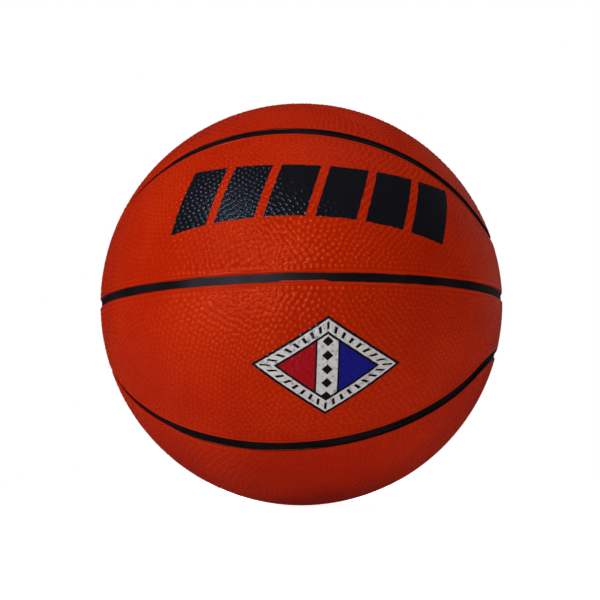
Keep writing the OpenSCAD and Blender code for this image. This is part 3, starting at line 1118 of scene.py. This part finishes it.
class BALL_OT_cover_panels(Operator):
    """Makes the eight pebbled cover panels."""

    bl_idname = "ball.cover_panels"
    bl_label = "Cover panels"

    def execute(self, context):
        sizes, colours = context.scene.ball_sizes, context.scene.ball_colours
        domes = dome_points(laid_pebbles(sizes), sizes)
        shapes = ("loop", "band", "valve_band")
        patterns = {shape: panel_pattern(shape, sizes, domes) for shape in shapes}
        plain = cover_finish("cover_rubber", sizes, colours)
        prints = {"upper_band_panel_front": "blocks", "lower_band_panel_front": "lozenge"}
        finishes = {
            node: cover_finish("cover_rubber_with_" + printed, sizes, colours, printed)
            for node, printed in prints.items()
        }
        for node, shape, back, bottom in PANELS:
            mesh = panel_mesh("pebbled_" + node, patterns[shape], back, bottom)
            piece = add_piece("pebbled_" + node, mesh, "cover", node)
            dress(piece, finishes.get(node, plain))
        return {"FINISHED"}


class BALL_OT_channel_strips(Operator):
    """Gives the seven channel strips their satin black finish."""

    bl_idname = "ball.channel_strips"
    bl_label = "Channel strips"

    def execute(self, context):
        sizes, colours = context.scene.ball_sizes, context.scene.ball_colours
        finishes = {
            "ring": channel_finish("ring_paint", sizes, colours, (0.0, 0.0, 1.0)),
            "cross": channel_finish("cross_paint", sizes, colours, (0.0, 1.0, 0.0)),
            "loop": channel_finish("loop_paint", sizes, colours),
        }
        for node in STRIPS:
            dress(cad_node(node), finishes[[kind for kind in finishes if kind in node][0]])
        return {"FINISHED"}


class BALL_OT_valve(Operator):
    """Gives the valve's seat and core their moulded rubber."""

    bl_idname = "ball.valve"
    bl_label = "Valve"

    def execute(self, context):
        tones = context.scene.ball_colours.valve, screen_colour(70, 66, 66)
        seat = moulded_finish("valve_seat_rubber", *tones, spot=0.003, rough=0.5, relief=0.0008)
        core = moulded_finish("valve_core_rubber", *tones, spot=0.0015, rough=0.42, relief=0.0005)
        dress(cad_node("valve_seat"), seat)
        dress(cad_node("valve_core"), core)
        return {"FINISHED"}


class BALL_OT_winding(Operator):
    """Makes the wound thread layer under the carcass."""

    bl_idname = "ball.winding"
    bl_label = "Winding"

    def execute(self, context):
        sizes, colours = context.scene.ball_sizes, context.scene.ball_colours
        piece = add_piece("wound_thread", winding_mesh(sizes), "winding", "winding")
        dress(piece, thread_finish("nylon_thread", colours))
        return {"FINISHED"}


class BALL_OT_inner_layers(Operator):
    """Gives the carcass and the bladder their finishes."""

    bl_idname = "ball.inner_layers"
    bl_label = "Inner layers"

    def execute(self, context):
        colours = context.scene.ball_colours
        carcass = moulded_finish(
            "carcass_rubber", colours.carcass, screen_colour(78, 72, 70),
            spot=0.008, rough=0.7, relief=0.0012, shine=0.3,
        )
        bladder = moulded_finish(
            "bladder_butyl", colours.bladder, screen_colour(58, 58, 64),
            spot=0.02, rough=0.45, relief=0.003, shine=0.5,
        )
        dress(cad_node("carcass"), carcass)
        dress(cad_node("bladder"), bladder)
        return {"FINISHED"}


class BALL_OT_stage(Operator):
    """Sets the pale floor, the soft light and the camera."""

    bl_idname = "ball.stage"
    bl_label = "Stage"

    def execute(self, context):
        scene = context.scene
        stage = scene.ball_stage
        add_floor(scene, stage)
        add_world(scene, stage.surround)
        for name, light in LIGHTS.items():
            add_area_light(name, light, getattr(stage, name))
        add_camera(scene, stage)
        scene.view_settings.view_transform = "Standard"
        return {"FINISHED"}


def add_floor(scene, stage):
    """A pale disc under the ball, faintly mottled, that fades into the white surround to the eye."""
    corners, reach = 96, 6.0
    fade_from, fade_to = 0.12, 0.6
    level = -scene.ball_sizes.radius
    mesh = bpy.data.meshes.new("floor")
    turns = [2 * math.pi * i / corners for i in range(corners)]
    rim = [(reach * math.cos(turn), reach * math.sin(turn), level) for turn in turns]
    mesh.from_pydata(rim, [], [list(range(corners))])
    floor = bpy.data.objects.new("floor", mesh)
    scene.collection.objects.link(floor)
    floor.visible_glossy = False
    finish = Finish("pale_floor")
    mottled = finish.spots(size=0.2, low=0.3, high=0.7)
    tone = finish.blend(mottled, scene.ball_colours.floor, screen_colour(240, 240, 240))
    finish.set(Base_Color=tone, Roughness=0.9, Specular_IOR_Level=0.1, Emission_Color=WHITE)
    away = finish.vector("LENGTH", finish.vector("MULTIPLY", finish.place, (1.0, 1.0, 0.0)))
    faded = finish.step(away, fade_from, fade_to)
    seen = finish.scaled(faded, stage.floor_seen - stage.floor_cast, 1.0)
    to_eye = finish.tree.nodes.new("ShaderNodeLightPath").outputs["Is Camera Ray"]
    glow = finish.total(finish.product(to_eye, seen), stage.floor_cast)
    finish.set(Emission_Strength=glow)
    dress(floor, finish.material)


def add_world(scene, surround):
    """White to the eye, and a dim soft surround for the light that reaches the ball. What glosses show
    of it is dimmer still."""
    world = bpy.data.worlds.new("white_surround")
    scene.world = world
    world.use_nodes = True
    nodes, links = world.node_tree.nodes, world.node_tree.links
    nodes.clear()
    seen = nodes.new("ShaderNodeBackground")
    cast = nodes.new("ShaderNodeBackground")
    for background in (seen, cast):
        background.inputs["Color"].default_value = (*WHITE, 1.0)
    seen.inputs["Strength"].default_value = 1.0
    path = nodes.new("ShaderNodeLightPath")
    dimmed = nodes.new("ShaderNodeMapRange")
    dimmed.inputs["To Min"].default_value = surround
    dimmed.inputs["To Max"].default_value = SURROUND_IN_GLOSS * surround
    links.new(path.outputs["Is Glossy Ray"], dimmed.inputs["Value"])
    links.new(dimmed.outputs["Result"], cast.inputs["Strength"])
    mix = nodes.new("ShaderNodeMixShader")
    output = nodes.new("ShaderNodeOutputWorld")
    links.new(path.outputs["Is Camera Ray"], mix.inputs["Fac"])
    links.new(cast.outputs["Background"], mix.inputs[1])
    links.new(seen.outputs["Background"], mix.inputs[2])
    links.new(mix.outputs["Shader"], output.inputs["Surface"])


def from_front(turn, rise):
    """A direction from the ball's middle: turned to the right of the front, and up, in radians."""
    return Vector((math.sin(turn) * math.cos(rise), -math.cos(turn) * math.cos(rise), math.sin(rise)))


def add_area_light(name, light, watts):
    """A square light that looks at the ball's middle."""
    data = bpy.data.lights.new(name, "AREA")
    data.shape = "SQUARE"
    data.size = light.size
    data.energy = watts
    lamp = bpy.data.objects.new(name, data)
    bpy.context.scene.collection.objects.link(lamp)
    lamp.visible_diffuse = light.soft
    lamp.visible_glossy = light.glints
    out = from_front(math.radians(light.turn), math.radians(light.rise))
    lamp.location = out * light.distance
    lamp.rotation_euler = (-out).to_track_quat("-Z", "Y").to_euler()


def add_camera(scene, stage):
    """The camera at the photograph's angle."""
    out = from_front(stage.turn, stage.rise)
    data = bpy.data.cameras.new("camera")
    data.lens = stage.lens
    data.sensor_width = SENSOR_WIDTH
    data.shift_x, data.shift_y = FRAME_SHIFT
    camera = bpy.data.objects.new("camera", data)
    scene.collection.objects.link(camera)
    camera.location = out * stage.distance
    facing = out.to_track_quat("Z", "Y").to_matrix().to_4x4()
    camera.rotation_euler = (facing @ Matrix.Rotation(-stage.roll, 4, "Z")).to_euler()
    scene.camera = camera


class BALL_PT_sidebar(Panel):
    """The ball's operators and values."""

    bl_idname = "BALL_PT_sidebar"
    bl_label = "Basketball"
    bl_space_type = "VIEW_3D"
    bl_region_type = "UI"
    bl_category = "Ball"

    def draw(self, context):
        for operator in OPERATORS:
            self.layout.operator(operator.bl_idname)
        for group in (context.scene.ball_sizes, context.scene.ball_colours, context.scene.ball_stage):
            for key in group.bl_rna.properties.keys():
                if key not in ("name", "rna_type"):
                    self.layout.prop(group, key)


OPERATORS = (
    BALL_OT_cover_panels,
    BALL_OT_channel_strips,
    BALL_OT_valve,
    BALL_OT_winding,
    BALL_OT_inner_layers,
    BALL_OT_stage,
)
CLASSES = (BallSizes, BallColours, BallStage, *OPERATORS, BALL_PT_sidebar)


def register():
    for one in CLASSES:
        bpy.utils.register_class(one)
    bpy.types.Scene.ball_sizes = PointerProperty(type=BallSizes)
    bpy.types.Scene.ball_colours = PointerProperty(type=BallColours)
    bpy.types.Scene.ball_stage = PointerProperty(type=BallStage)


def unregister():
    for name in ("ball_sizes", "ball_colours", "ball_stage"):
        delattr(bpy.types.Scene, name)
    for one in reversed(CLASSES):
        bpy.utils.unregister_class(one)


def main():
    register()
    bpy.ops.ball.cover_panels()
    bpy.ops.ball.channel_strips()
    bpy.ops.ball.valve()
    bpy.ops.ball.winding()
    bpy.ops.ball.inner_layers()
    bpy.ops.ball.stage()


if __name__ == "__main__":
    main()
